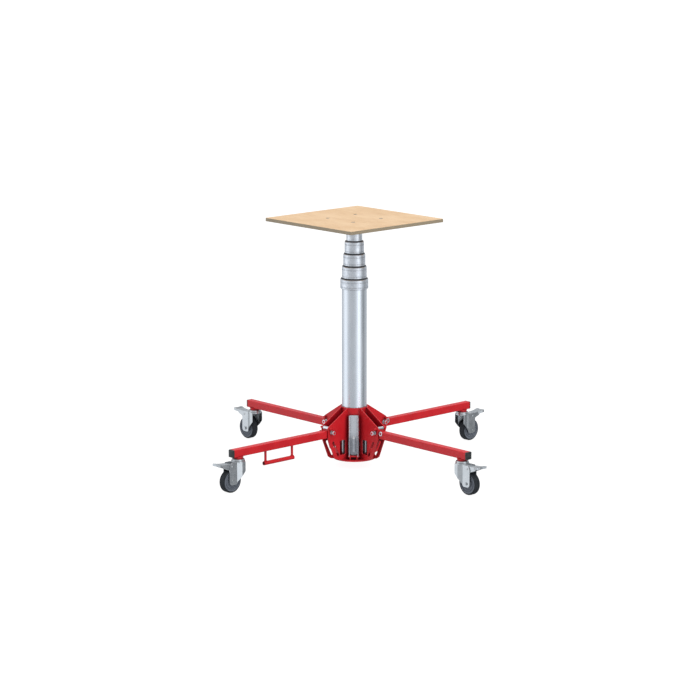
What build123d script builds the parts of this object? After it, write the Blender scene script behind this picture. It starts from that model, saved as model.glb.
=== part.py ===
"""Mobile pneumatic column lift: telescopic column, folding castor legs, plywood platform.

Frame: origin on the floor under the column axis, +Z up.  The four legs lie along
+X (front right), +Y (rear right), -X (rear left) and -Y (front left).  Millimetres.
"""
from math import atan2, cos, degrees, radians, sin
import os

from build123d import *

# ---------------------------------------------------------------- driving dimensions
LEGS = {"front_right": 0, "rear_right": 90, "rear_left": 180, "front_left": 270}
LOCK_SIDES = {"front_right": -1, "rear_right": -1, "rear_left": 1, "front_left": 1}
HANDLE_LEG = "front_left"

# column: outer diameters of the five nested tubes, outermost first
TUBE_WALL = 4.0
TUBE_RADII = [55.0, 49.0, 43.0, 37.0, 31.0]
COLLAR_RADII = [61.5, 54.5, 48.5, 42.5]
COLLAR_BOTTOM = [798.0, 845.0, 900.0, 955.0]
COLLAR_TOP = [840.0, 895.0, 950.0, 1005.0]
COLLAR_SHOULDER = 12.0          # solid ring above the end of each tube
WIPER_HEIGHT = 4.5
WIPER_INSET = 2.5               # how far a wiper stands back from its collar's side
STROKE = 650.0                  # travel of each moving stage
SLIDE_FIT = 0.08                # radial clearance of bushes and pistons
LIP_GAP = 0.3                   # radial clearance of the soft wiper lips
REST_GAP = 0.5                  # a retracted stage stops this far above the one outside it
PISTON_LIP = 6.0                # floor ring under each moving tube
PISTON_LIP_WIDTH = 8.0

# head and platform
PLATFORM_SIDE = 550.0
PLATFORM_THICKNESS = 15.0
PLATFORM_TOP = 1106.0
PLATFORM_CORNER = 4.0
HEAD_RADIUS = 35.0
HEAD_PLATE_SIDE = 200.0
HEAD_PLATE_THICKNESS = 8.0
PLATFORM_BOLT_SPACING = 164.0
PLATFORM_BOLT_RADIUS = 5.0
PLATFORM_BOLT_HEAD = 9.0
PLATFORM_BOLT_HEAD_DEPTH = 5.5
PLATFORM_BOLT_SINK = 1.0

# hub
SLEEVE_RADIUS = 60.5
SLEEVE_BOTTOM = 132.0
SLEEVE_TOP = 270.0
DISC_RADIUS = 95.0
DISC_BOTTOM = 36.0
DISC_TOP = 42.0
SOCKET_TOP = 60.0
PLUG_TOP = 66.0
PLATE_THICKNESS = 5.0
PLATE_GAP = 35.0                # between the two plates of a pair
PLATE_OUTLINE = [
    (50, 270), (61, 270), (168, 204), (176, 196), (176, 147), (139, 58), (124, 48), (96, 42), (50, 42)]
WINDOW_CENTRE = (90.0, 98.0)
WINDOW_SIZE = (34.0, 66.0)
SLOT_ENDS = ((146.0, 127.0), (116.0, 67.0))
SLOT_WIDTH = 13.0

# legs: each hinges on a bush above its tube and is locked by a pin through its side
LEG_SIZE = 33.0
LEG_WALL = 2.5
LEG_HEIGHT = 167.0              # centreline above the floor
LEG_INNER = 122.0
LEG_OUTER = 708.0
CAP_FLANGE = 7.0
CAP_PLUG = 18.0
HINGE_ALONG = 166.0
HINGE_HEIGHT = 194.0
HINGE_BOLT_RADIUS = 5.0
HINGE_HEAD_RADIUS = 6.6
HINGE_BUSH_RADIUS = 7.5
HINGE_BUSH_LENGTH = 32.0
SADDLE_TOP = 4.0                # half widths of the web that carries the bush
SADDLE_FOOT = 10.0
LOCK_ALONG = 157.0
LOCK_HEIGHT = 176.0
LOCK_RADIUS = 4.0
LOCK_NUT_RADIUS = 9.5
LOCK_GUIDE_RADIUS = 6.5
LOCK_GUIDE_LENGTH = 3.0
LOCK_KNOB_RADIUS = 9.0
LOCK_KNOB_LENGTH = 6.5
LOCK_TRAVEL = 6.0
RUNNING = 0.05                  # radial clearance of pivots

# carrying handle under the front left leg
HANDLE_ENDS = (361.0, 531.0)
HANDLE_RODS = (369.0, 521.0)
HANDLE_HEIGHT = 95.0
HANDLE_BAR_RADIUS = 9.0
HANDLE_BAR_WALL = 2.0
HANDLE_ROD_RADIUS = 5.5

# castors
SWIVEL_ALONG = 675.0
TRAIL = 45.0
WHEEL_RADIUS = 50.0
WHEEL_WIDTH = 32.0
TYRE_DEPTH = 7.0
HUB_WIDTH = 37.0
FORK_GAP = 38.0                 # between the cheeks beside the wheel
FORK_WIDE_GAP = 56.0            # between the cheeks beside the swivel
FORK_SHEET = 2.5
FORK_TOP = 130.0
FORK_BOTTOM = 35.0
FORK_REAR = -16.0               # from the swivel axis, outwards positive
FORK_STEP = (2.0, 24.0)         # where the cheeks close in from the wide gap to the narrow one
FORK_FRONT = 65.0
BRIDGE_FRONT = 34.0
RACE_RADIUS = 30.5
LOWER_RACE_TOP = 134.0
UPPER_RACE_BOTTOM = 134.6
UPPER_RACE_TOP = 141.0
UPPER_RACE_RADIUS = 29.0
BOSS_RADIUS = 21.0
STEM_RADIUS = 6.0
AXLE_RADIUS = 4.0
BRAKE_PIVOT = (50.0, 116.0)
BRAKE_PIN_RADIUS = 3.0
BRAKE_SHEET = 2.5
BRAKE_TAIL = 88.0               # where the pedal starts to widen
BRAKE_TIP = 125.0
BRAKE_HALF_TAIL = 24.0
BRAKE_RIM = 10.0                # depth of the turned-down edge of the tail

# foot pedal, in the sector between the front legs
PEDAL_DIRECTION = -45
PEDAL_PIVOT = (74.0, 56.0)
PEDAL_BACK = 64.0
PEDAL_WIDTH = 41.0
PEDAL_SHEET = 2.5
PEDAL_FLANGE = 16.0
PEDAL_BOTTOM = 50.0
PEDAL_TOP = 240.0
PEDAL_PIN_RADIUS = 4.0

# air inlet, in the sector between the rear legs
INLET_DIRECTION = 135
INLET_HEIGHT = 54.0
INLET_THREAD_RADIUS = 8.0
NIPPLE_RADIUS = 5.0


# ---------------------------------------------------------------- planes and helpers
def radial(angle):
    return Vector(cos(radians(angle)), sin(radians(angle)), 0)


def lateral(angle):
    return Vector(-sin(radians(angle)), cos(radians(angle)), 0)


def point(angle, along, height, across=0.0):
    """A point given by its distance along a leg, its height and its offset across the leg."""
    return radial(angle) * along + lateral(angle) * across + Vector(0, 0, height)


def side_plane(angle, across=0.0):
    """Upright plane along a leg: local x runs outwards, local y up, normal across the leg."""
    return Plane(point(angle, 0, 0, across), x_dir=radial(angle), z_dir=lateral(angle) * -1)


def end_plane(angle, along, height=0.0):
    """Upright plane square to a leg: local x runs across it, local y up, normal outwards."""
    return Plane(point(angle, along, height), x_dir=lateral(angle), z_dir=radial(angle))


def flat_plane(angle, along, height):
    """Level plane: local x runs outwards along a leg, local y across it."""
    return Plane(point(angle, along, height), x_dir=radial(angle), z_dir=(0, 0, 1))


def across_axis(angle, along, height):
    return Axis(point(angle, along, height), lateral(angle))


def save(part, name):
    part.label = name
    export_step(part, f"parts/{name}.step")


def bolt_across(angle, along, height, radius, grip, head_radius, head_height, thread=6.0):
    """Bolt and nut across a leg: the head on one side of the grip, the nut on the other."""
    with BuildPart() as bolt:
        with BuildSketch(side_plane(angle, grip / 2)):
            with Locations((along, height)):
                Circle(radius)
        extrude(amount=grip + head_height + thread)
        with BuildSketch(side_plane(angle, grip / 2)):
            with Locations((along, height)):
                Circle(head_radius * 1.25)
        extrude(amount=-1.6)
        with BuildSketch(side_plane(angle, grip / 2 + 1.6)):
            with Locations((along, height)):
                RegularPolygon(head_radius, 6)
        extrude(amount=-head_height)
    with BuildPart() as nut:
        with BuildSketch(side_plane(angle, -grip / 2)):
            with Locations((along, height)):
                RegularPolygon(head_radius, 6)
                Circle(radius, mode=Mode.SUBTRACT)
        extrude(amount=head_height)
    return [bolt.part, nut.part]


# ---------------------------------------------------------------- column
def outer_tube():
    with BuildPart() as tube:
        with BuildSketch(Plane.XY.offset(DISC_TOP)):
            Circle(TUBE_RADII[0])
            Circle(TUBE_RADII[0] - TUBE_WALL, mode=Mode.SUBTRACT)
        extrude(amount=COLLAR_TOP[0] - COLLAR_SHOULDER - DISC_TOP)
        with BuildSketch(end_plane(INLET_DIRECTION, 0, INLET_HEIGHT)):
            Circle(INLET_THREAD_RADIUS)
        extrude(amount=DISC_RADIUS, mode=Mode.SUBTRACT)
    save(tube.part, "outer_tube")


def collar(name, stage):
    """Guide collar on the end of a tube, with the bush for the next tube in its shoulder."""
    tube = TUBE_RADII[stage]
    bush = TUBE_RADII[stage + 1] + SLIDE_FIT
    outside = COLLAR_RADII[stage]
    bottom = COLLAR_BOTTOM[stage]
    top = COLLAR_TOP[stage]
    shoulder = top - COLLAR_SHOULDER
    groove_heights = [bottom + 6, bottom + 9, shoulder - 2, shoulder + 1]
    with BuildPart() as body:
        with BuildSketch(Plane.XZ):
            with BuildLine():
                Polyline(
                    (tube, bottom), (outside - 1, bottom), (outside, bottom + 1), (outside, top - 2),
                    (outside - 2, top), (bush, top), (bush, shoulder), (tube, shoulder), close=True)
            make_face()
            with Locations(*[(outside, height) for height in groove_heights]):
                Rectangle(1.0, 1.0, mode=Mode.SUBTRACT)
        revolve(axis=Axis.Z)
    save(body.part, name)


def wiper(name, stage):
    """Black scraper ring that stands on a collar and seals against the next tube."""
    lip = TUBE_RADII[stage + 1] + LIP_GAP
    outside = COLLAR_RADII[stage] - WIPER_INSET
    top = COLLAR_TOP[stage]
    with BuildPart() as body:
        with BuildSketch(Plane.XZ):
            with BuildLine():
                Polyline(
                    (lip, top), (outside, top), (outside, top + 2.5), (lip + 1.6, top + WIPER_HEIGHT),
                    (lip, top + WIPER_HEIGHT), close=True)
            make_face()
        revolve(axis=Axis.Z)
    save(body.part, name)


def piston_bottom(stage):
    return PLUG_TOP + REST_GAP + (stage - 1) * (PISTON_LIP + REST_GAP)


def piston(name, stage):
    """Seal and guide sleeve on the lower end of a moving tube; its top is the travel stop."""
    bore = TUBE_RADII[stage - 1] - TUBE_WALL
    tube = TUBE_RADII[stage]
    bottom = piston_bottom(stage)
    top = COLLAR_TOP[stage - 1] - COLLAR_SHOULDER - STROKE - REST_GAP
    skirt = bore - SLIDE_FIT
    waist = bore - 0.8
    band = 18.0
    seal_depth = 1.2
    inside = tube - PISTON_LIP_WIDTH
    with BuildPart() as body:
        with BuildSketch(Plane.XZ):
            with BuildLine():
                Polyline(
                    (inside, bottom), (skirt - 1, bottom), (skirt, bottom + 1), (skirt, bottom + band),
                    (waist, bottom + band), (waist, top - band), (skirt, top - band), (skirt, top),
                    (tube, top), (tube, bottom + PISTON_LIP), (inside, bottom + PISTON_LIP), close=True)
            make_face()
            with Locations((skirt, bottom + band / 2)):
                Rectangle(seal_depth, 4.0, mode=Mode.SUBTRACT)
        revolve(axis=Axis.Z)
    save(body.part, name)


def moving_tube(name, stage, top):
    bottom = piston_bottom(stage) + PISTON_LIP
    with BuildPart() as tube:
        with BuildSketch(Plane.XY.offset(bottom)):
            Circle(TUBE_RADII[stage])
            Circle(TUBE_RADII[stage] - TUBE_WALL, mode=Mode.SUBTRACT)
        extrude(amount=top - bottom)
    save(tube.part, name)


def base_plug():
    """End plug that closes the column, drilled for the air inlet."""
    radius = TUBE_RADII[0] - TUBE_WALL
    with BuildPart() as plug:
        with BuildSketch(Plane.XY.offset(DISC_TOP)):
            Circle(radius)
        extrude(amount=PLUG_TOP - DISC_TOP)
        chamfer(plug.edges().group_by(Axis.Z)[-1], length=1.5)
        with BuildSketch(end_plane(INLET_DIRECTION, 0, INLET_HEIGHT)):
            Circle(INLET_THREAD_RADIUS)
        extrude(amount=radius + 1, mode=Mode.SUBTRACT)
        with BuildSketch(Plane.XY.offset(PLUG_TOP)):
            Circle(6)
        extrude(amount=INLET_HEIGHT - PLUG_TOP, mode=Mode.SUBTRACT)
    save(plug.part, "base_plug")


def air_valve():
    """Inlet valve screwed through the tube wall into the plug, ending in a hose nipple."""
    with BuildPart() as valve:
        with BuildSketch(side_plane(INLET_DIRECTION)):
            with BuildLine():
                Polyline(
                    (30, INLET_HEIGHT + 3), (30, INLET_HEIGHT + INLET_THREAD_RADIUS),
                    (66, INLET_HEIGHT + INLET_THREAD_RADIUS), (66, INLET_HEIGHT + 10),
                    (76, INLET_HEIGHT + 10), (76, INLET_HEIGHT + NIPPLE_RADIUS),
                    (86, INLET_HEIGHT + NIPPLE_RADIUS), (88, INLET_HEIGHT + NIPPLE_RADIUS - 1),
                    (90, INLET_HEIGHT + NIPPLE_RADIUS), (99, INLET_HEIGHT + NIPPLE_RADIUS),
                    (101, INLET_HEIGHT + 3), close=True)
            make_face()
        revolve(axis=Axis(point(INLET_DIRECTION, 0, INLET_HEIGHT), radial(INLET_DIRECTION)))
    save(valve.part, "air_valve")


# ---------------------------------------------------------------- head and platform
def head_flange():
    """Welded head: a socket over the innermost tube under a square bolting plate."""
    plate_bottom = PLATFORM_TOP - PLATFORM_THICKNESS - HEAD_PLATE_THICKNESS
    socket_bottom = COLLAR_TOP[3] + WIPER_HEIGHT + REST_GAP
    with BuildPart() as head:
        with BuildSketch(Plane.XY.offset(socket_bottom)):
            Circle(HEAD_RADIUS)
            Circle(TUBE_RADII[4], mode=Mode.SUBTRACT)
        extrude(amount=plate_bottom - socket_bottom)
        with BuildSketch(Plane.XY.offset(plate_bottom)):
            RectangleRounded(HEAD_PLATE_SIDE, HEAD_PLATE_SIDE, 12)
        extrude(amount=HEAD_PLATE_THICKNESS)
        with BuildSketch(Plane.XY.offset(plate_bottom)):
            with GridLocations(PLATFORM_BOLT_SPACING, PLATFORM_BOLT_SPACING, 2, 2):
                Circle(PLATFORM_BOLT_RADIUS)
        extrude(amount=HEAD_PLATE_THICKNESS, mode=Mode.SUBTRACT)
        for rib_angle in (0, 90, 180, 270):
            with BuildSketch(side_plane(rib_angle)):
                with BuildLine():
                    Polyline(
                        (HEAD_RADIUS - 1, plate_bottom - 42), (HEAD_RADIUS + 2, plate_bottom - 42),
                        (HEAD_PLATE_SIDE / 2 - 14, plate_bottom - 4),
                        (HEAD_PLATE_SIDE / 2 - 14, plate_bottom), (HEAD_RADIUS - 1, plate_bottom),
                        close=True)
                make_face()
            extrude(amount=2.5, both=True)
    save(head.part, "head_flange")


def platform():
    bottom = PLATFORM_TOP - PLATFORM_THICKNESS
    with BuildPart() as board:
        with BuildSketch(Plane.XY.offset(bottom)):
            RectangleRounded(PLATFORM_SIDE, PLATFORM_SIDE, PLATFORM_CORNER)
        extrude(amount=PLATFORM_THICKNESS)
        chamfer(board.edges().group_by(Axis.Z)[-1], length=0.8)
        with Locations(Plane.XY.offset(PLATFORM_TOP)):
            with GridLocations(PLATFORM_BOLT_SPACING, PLATFORM_BOLT_SPACING, 2, 2):
                CounterBoreHole(
                    PLATFORM_BOLT_RADIUS, PLATFORM_BOLT_HEAD, PLATFORM_BOLT_HEAD_DEPTH + PLATFORM_BOLT_SINK)
    save(board.part, "platform")


def platform_bolts():
    """Four socket screws sunk into the board, each with a nut under the head plate."""
    seat = PLATFORM_TOP - PLATFORM_BOLT_SINK - PLATFORM_BOLT_HEAD_DEPTH
    plate_bottom = PLATFORM_TOP - PLATFORM_THICKNESS - HEAD_PLATE_THICKNESS
    nut_height = 8.0
    corner = PLATFORM_BOLT_SPACING / 2
    with BuildPart() as bolts:
        for x in (-corner, corner):
            for y in (-corner, corner):
                with BuildSketch(Plane((x, y, plate_bottom - nut_height - 3))):
                    Circle(PLATFORM_BOLT_RADIUS)
                extrude(amount=seat - plate_bottom + nut_height + 3)
                with BuildSketch(Plane((x, y, seat))):
                    Circle(PLATFORM_BOLT_HEAD - 0.2)
                extrude(amount=PLATFORM_BOLT_HEAD_DEPTH)
                with BuildSketch(Plane((x, y, seat + PLATFORM_BOLT_HEAD_DEPTH))):
                    RegularPolygon(4.6, 6)
                extrude(amount=-3, mode=Mode.SUBTRACT)
                with BuildSketch(Plane((x, y, plate_bottom - nut_height))):
                    RegularPolygon(9.8, 6)
                extrude(amount=nut_height)
    save(bolts.part, "platform_bolts")


# ---------------------------------------------------------------- hub
def hub_core():
    """Upper sleeve, base disc with its socket ring, and the two ears of the foot pedal."""
    tube = TUBE_RADII[0]
    ear_inner = PEDAL_WIDTH / 2 - PEDAL_SHEET - 5.5
    with BuildPart() as core:
        with BuildSketch(Plane.XY.offset(SLEEVE_BOTTOM)):
            Circle(SLEEVE_RADIUS)
            Circle(tube, mode=Mode.SUBTRACT)
        extrude(amount=SLEEVE_TOP - SLEEVE_BOTTOM)
        chamfer(core.edges().group_by(Axis.Z)[-1].sort_by(lambda edge: edge.radius)[-1], length=1.5)
        with BuildSketch(Plane.XY.offset(DISC_BOTTOM)):
            Circle(DISC_RADIUS)
        extrude(amount=DISC_TOP - DISC_BOTTOM)
        with BuildSketch(Plane.XY.offset(DISC_TOP)):
            Circle(SLEEVE_RADIUS)
            Circle(tube, mode=Mode.SUBTRACT)
        extrude(amount=SOCKET_TOP - DISC_TOP)
        with BuildSketch(end_plane(INLET_DIRECTION, 0, INLET_HEIGHT)):
            Circle(INLET_THREAD_RADIUS)
        extrude(amount=DISC_RADIUS, mode=Mode.SUBTRACT)
        for across in (-ear_inner - 5.0, ear_inner):
            with BuildSketch(side_plane(PEDAL_DIRECTION, across + 5.0)):
                with Locations((PEDAL_PIVOT[0], (DISC_TOP + PEDAL_PIVOT[1]) / 2)):
                    Rectangle(14, PEDAL_PIVOT[1] - DISC_TOP)
                with Locations(PEDAL_PIVOT):
                    Circle(7)
                    Circle(PEDAL_PIN_RADIUS, mode=Mode.SUBTRACT)
            extrude(amount=5.0)
    save(core.part, "hub_core")


def gusset_plates():
    """Four pairs of welded side plates; each pair holds one leg."""
    slot_start = Vector(*SLOT_ENDS[0])
    slot_run = Vector(*SLOT_ENDS[1]) - slot_start
    slot_middle = slot_start + slot_run * 0.5
    slot_turn = degrees(atan2(slot_run.Y, slot_run.X))
    plates = []
    for leg, angle in LEGS.items():
        for side in (-1, 1):
            with BuildPart() as plate:
                with BuildSketch(side_plane(angle, side * PLATE_GAP / 2)):
                    with BuildLine():
                        Polyline(*PLATE_OUTLINE, close=True)
                    make_face()
                    with Locations(WINDOW_CENTRE):
                        RectangleRounded(*WINDOW_SIZE, 6, mode=Mode.SUBTRACT)
                    with Locations((slot_middle.X, slot_middle.Y)):
                        SlotCenterToCenter(
                            slot_run.length, SLOT_WIDTH, rotation=slot_turn, mode=Mode.SUBTRACT)
                    with Locations((HINGE_ALONG, HINGE_HEIGHT)):
                        Circle(HINGE_BOLT_RADIUS, mode=Mode.SUBTRACT)
                    if side == LOCK_SIDES[leg]:
                        with Locations((LOCK_ALONG, LOCK_HEIGHT)):
                            Circle(LOCK_RADIUS + RUNNING, mode=Mode.SUBTRACT)
                extrude(amount=-side * PLATE_THICKNESS)
                with BuildSketch(Plane.XY.offset(DISC_TOP)):
                    Circle(SLEEVE_RADIUS)
                extrude(amount=SLEEVE_TOP, mode=Mode.SUBTRACT)
            plates.append(plate.part)
    save(Compound(children=plates), "gusset_plates")


def pedal_pin():
    reach = PEDAL_WIDTH / 2 + 2
    with BuildPart() as pin:
        with BuildSketch(side_plane(PEDAL_DIRECTION, reach)):
            with Locations(PEDAL_PIVOT):
                Circle(PEDAL_PIN_RADIUS)
        extrude(amount=2 * reach)
        for face, amount in ((PEDAL_WIDTH / 2 + 0.5, -3), (-PEDAL_WIDTH / 2 - 0.5, 3)):
            with BuildSketch(side_plane(PEDAL_DIRECTION, face)):
                with Locations(PEDAL_PIVOT):
                    Circle(PEDAL_PIN_RADIUS + 2)
            extrude(amount=amount)
    return pin.part


def hub_bolts():
    """Hinge bolt and nut of each leg, and the foot pedal's pin."""
    grip = PLATE_GAP + 2 * PLATE_THICKNESS
    bolts = [pedal_pin()]
    for angle in LEGS.values():
        bolts += bolt_across(
            angle, HINGE_ALONG, HINGE_HEIGHT, HINGE_BOLT_RADIUS, grip, HINGE_HEAD_RADIUS, 6.4)
    save(Compound(children=bolts), "hub_bolts")


def lock_housings():
    """Threaded guides of the locking pins, one on the outer face of each locked plate."""
    face = PLATE_GAP / 2 + PLATE_THICKNESS
    housings = []
    for leg, angle in LEGS.items():
        side = LOCK_SIDES[leg]
        with BuildPart() as housing:
            with BuildSketch(side_plane(angle, side * face)):
                with Locations((LOCK_ALONG, LOCK_HEIGHT)):
                    RegularPolygon(LOCK_NUT_RADIUS, 6)
            extrude(amount=-side * LOCK_GUIDE_LENGTH)
            with BuildSketch(side_plane(angle, side * (face + LOCK_GUIDE_LENGTH))):
                with Locations((LOCK_ALONG, LOCK_HEIGHT)):
                    Circle(LOCK_GUIDE_RADIUS)
            extrude(amount=-side * LOCK_GUIDE_LENGTH)
            with BuildSketch(side_plane(angle, side * face)):
                with Locations((LOCK_ALONG, LOCK_HEIGHT)):
                    Circle(LOCK_RADIUS + RUNNING)
            extrude(amount=-side * 2 * LOCK_GUIDE_LENGTH, mode=Mode.SUBTRACT)
        housings.append(housing.part)
    save(Compound(children=housings), "lock_housings")


def lock_plunger(name, angle, side):
    """Locking pin in its parked position: pushed in, its nose enters the side of the leg."""
    nose = LEG_SIZE / 2 + 0.5
    knob = PLATE_GAP / 2 + PLATE_THICKNESS + 2 * LOCK_GUIDE_LENGTH + REST_GAP + LOCK_TRAVEL
    grip_radius = LOCK_KNOB_RADIUS / 2
    with BuildPart() as plunger:
        with BuildSketch(side_plane(angle, side * nose)):
            with Locations((LOCK_ALONG, LOCK_HEIGHT)):
                Circle(LOCK_RADIUS)
        extrude(amount=-side * (knob - nose))
        with BuildSketch(side_plane(angle, side * knob)):
            with Locations((LOCK_ALONG, LOCK_HEIGHT)):
                Circle(LOCK_KNOB_RADIUS)
        extrude(amount=-side * LOCK_KNOB_LENGTH)
        rims = plunger.edges().filter_by(GeomType.CIRCLE).sort_by(lambda edge: edge.radius)[-2:]
        fillet(rims, radius=1.5)
        with BuildSketch(side_plane(angle, side * (knob + LOCK_KNOB_LENGTH))):
            with Locations((LOCK_ALONG, LOCK_HEIGHT)):
                Circle(grip_radius)
        extrude(amount=side * 3, mode=Mode.SUBTRACT)
    save(plunger.part, name)


def foot_pedal():
    """Pressed channel, folded up against the column, with its flanges facing outwards."""
    depth = PEDAL_FLANGE
    height = PEDAL_TOP - PEDAL_BOTTOM
    middle = (PEDAL_BACK + depth / 2, PEDAL_BOTTOM + height / 2)
    with BuildPart() as pedal:
        with BuildSketch(side_plane(PEDAL_DIRECTION)) as profile:
            with Locations(middle):
                Rectangle(depth, height)
            outer = profile.vertices().group_by(Axis.X)[-1]
            fillet(outer, radius=6)
        extrude(amount=PEDAL_WIDTH / 2, both=True)
        with BuildSketch(side_plane(PEDAL_DIRECTION)):
            with Locations((middle[0] + PEDAL_SHEET, middle[1])):
                Rectangle(depth, height + 2)
        extrude(amount=PEDAL_WIDTH / 2 - PEDAL_SHEET, both=True, mode=Mode.SUBTRACT)
        with BuildSketch(side_plane(PEDAL_DIRECTION)):
            with BuildLine():
                Polyline((66, 70), (75, 74), (75, 136), (66, 146), close=True)
            make_face()
        extrude(amount=5, both=True)
        with BuildSketch(side_plane(PEDAL_DIRECTION)):
            with Locations(PEDAL_PIVOT):
                Circle(PEDAL_PIN_RADIUS + RUNNING)
        extrude(amount=PEDAL_WIDTH, both=True, mode=Mode.SUBTRACT)
    save(pedal.part, "foot_pedal")


# ---------------------------------------------------------------- legs
def leg_tube(name, angle, side):
    """Square tube with its hinge bush on top, the castor boss below and the locking hole in one side."""
    underside = LEG_HEIGHT - LEG_SIZE / 2
    upper = LEG_HEIGHT + LEG_SIZE / 2
    bore = LEG_SIZE - 2 * LEG_WALL
    with BuildPart() as tube:
        with BuildSketch(end_plane(angle, LEG_INNER, LEG_HEIGHT)):
            RectangleRounded(LEG_SIZE, LEG_SIZE, 3)
            RectangleRounded(bore, bore, 0.6, mode=Mode.SUBTRACT)
        extrude(amount=LEG_OUTER - LEG_INNER)
        with BuildSketch(side_plane(angle)):
            with BuildLine():
                Polyline(
                    (HINGE_ALONG - SADDLE_FOOT, upper - 1), (HINGE_ALONG + SADDLE_FOOT, upper - 1),
                    (HINGE_ALONG + SADDLE_TOP, HINGE_HEIGHT), (HINGE_ALONG - SADDLE_TOP, HINGE_HEIGHT),
                    close=True)
            make_face()
            with Locations((HINGE_ALONG, HINGE_HEIGHT)):
                Circle(HINGE_BUSH_RADIUS)
                Circle(HINGE_BOLT_RADIUS + RUNNING, mode=Mode.SUBTRACT)
        extrude(amount=HINGE_BUSH_LENGTH / 2, both=True)
        with BuildSketch(flat_plane(angle, SWIVEL_ALONG, UPPER_RACE_TOP)):
            Circle(BOSS_RADIUS)
        extrude(amount=underside + 1 - UPPER_RACE_TOP)
        with BuildSketch(flat_plane(angle, SWIVEL_ALONG, UPPER_RACE_TOP)):
            Circle(STEM_RADIUS)
        extrude(amount=LEG_SIZE / 2, mode=Mode.SUBTRACT)
        with BuildSketch(side_plane(angle)):
            with Locations((LOCK_ALONG, LOCK_HEIGHT)):
                Circle(LOCK_RADIUS + RUNNING)
        extrude(amount=-side * LEG_SIZE, mode=Mode.SUBTRACT)
    save(tube.part, name)


def leg_cap(name, angle):
    """Black plastic insert that closes the outer end of a leg."""
    with BuildPart() as cap:
        with BuildSketch(end_plane(angle, LEG_OUTER, LEG_HEIGHT)):
            RectangleRounded(LEG_SIZE, LEG_SIZE, 3)
        extrude(amount=CAP_FLANGE)
        outside = Plane(point(angle, LEG_OUTER + CAP_FLANGE, LEG_HEIGHT), z_dir=radial(angle))
        fillet(cap.edges().filter_by_position(Axis(outside.origin, outside.z_dir), -0.1, 0.1), radius=2.5)
        with BuildSketch(end_plane(angle, LEG_OUTER, LEG_HEIGHT)):
            RectangleRounded(LEG_SIZE - 2 * LEG_WALL, LEG_SIZE - 2 * LEG_WALL, 0.6)
        extrude(amount=-CAP_PLUG)
        with BuildSketch(end_plane(angle, LEG_OUTER - CAP_PLUG, LEG_HEIGHT)):
            Rectangle(LEG_SIZE - 4 * LEG_WALL, LEG_SIZE - 4 * LEG_WALL)
        extrude(amount=CAP_PLUG - 2, mode=Mode.SUBTRACT)
    save(cap.part, name)


def carry_handle(angle):
    """Round bar on two rods, welded under one leg."""
    bar_length = HANDLE_ENDS[1] - HANDLE_ENDS[0]
    with BuildPart() as handle:
        with BuildSketch(end_plane(angle, HANDLE_ENDS[0], HANDLE_HEIGHT)):
            Circle(HANDLE_BAR_RADIUS)
        extrude(amount=bar_length)
        for along in HANDLE_RODS:
            with BuildSketch(flat_plane(angle, along, HANDLE_HEIGHT)):
                Circle(HANDLE_ROD_RADIUS)
            extrude(amount=LEG_HEIGHT - LEG_SIZE / 2 - HANDLE_HEIGHT)
        with BuildSketch(end_plane(angle, HANDLE_ENDS[0], HANDLE_HEIGHT)):
            Circle(HANDLE_BAR_RADIUS - HANDLE_BAR_WALL)
        extrude(amount=bar_length, mode=Mode.SUBTRACT)
    save(handle.part, "carry_handle")


# ---------------------------------------------------------------- castors
def castor_stem(name, angle):
    """Upper race and kingpin of a castor, bolted up into the leg."""
    nut_bottom = LEG_HEIGHT - LEG_SIZE / 2 + LEG_WALL
    head_top = FORK_TOP - FORK_SHEET - 0.9
    head_bottom = head_top - 5
    with BuildPart() as stem:
        with BuildSketch(flat_plane(angle, SWIVEL_ALONG, head_bottom)):
            Circle(10)
        extrude(amount=head_top - head_bottom)
        with BuildSketch(flat_plane(angle, SWIVEL_ALONG, head_bottom)):
            Circle(STEM_RADIUS)
        extrude(amount=nut_bottom + 16 - head_bottom)
        with BuildSketch(flat_plane(angle, SWIVEL_ALONG, UPPER_RACE_BOTTOM)):
            Circle(UPPER_RACE_RADIUS)
        extrude(amount=UPPER_RACE_TOP - UPPER_RACE_BOTTOM, taper=20)
        with BuildSketch(flat_plane(angle, SWIVEL_ALONG, nut_bottom)):
            RegularPolygon(10.5, 6)
        extrude(amount=10)
    save(stem.part, name)


def fork_axle(angle):
    """Axle bolt and nut through both cheeks of a fork."""
    centre = (SWIVEL_ALONG + TRAIL, WHEEL_RADIUS)
    outside = FORK_GAP / 2 + FORK_SHEET
    return bolt_across(angle, *centre, AXLE_RADIUS, 2 * outside, 6.6, 4.5, thread=1.5)


def fork_plan(half_wide, half_narrow, rear, front):
    """Plan of a fork, wide beside the swivel and narrow beside the wheel."""
    near = [(rear, half_wide), (FORK_STEP[0], half_wide), (FORK_STEP[1], half_narrow), (front, half_narrow)]
    return near + [(x, -y) for x, y in reversed(near)]


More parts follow.
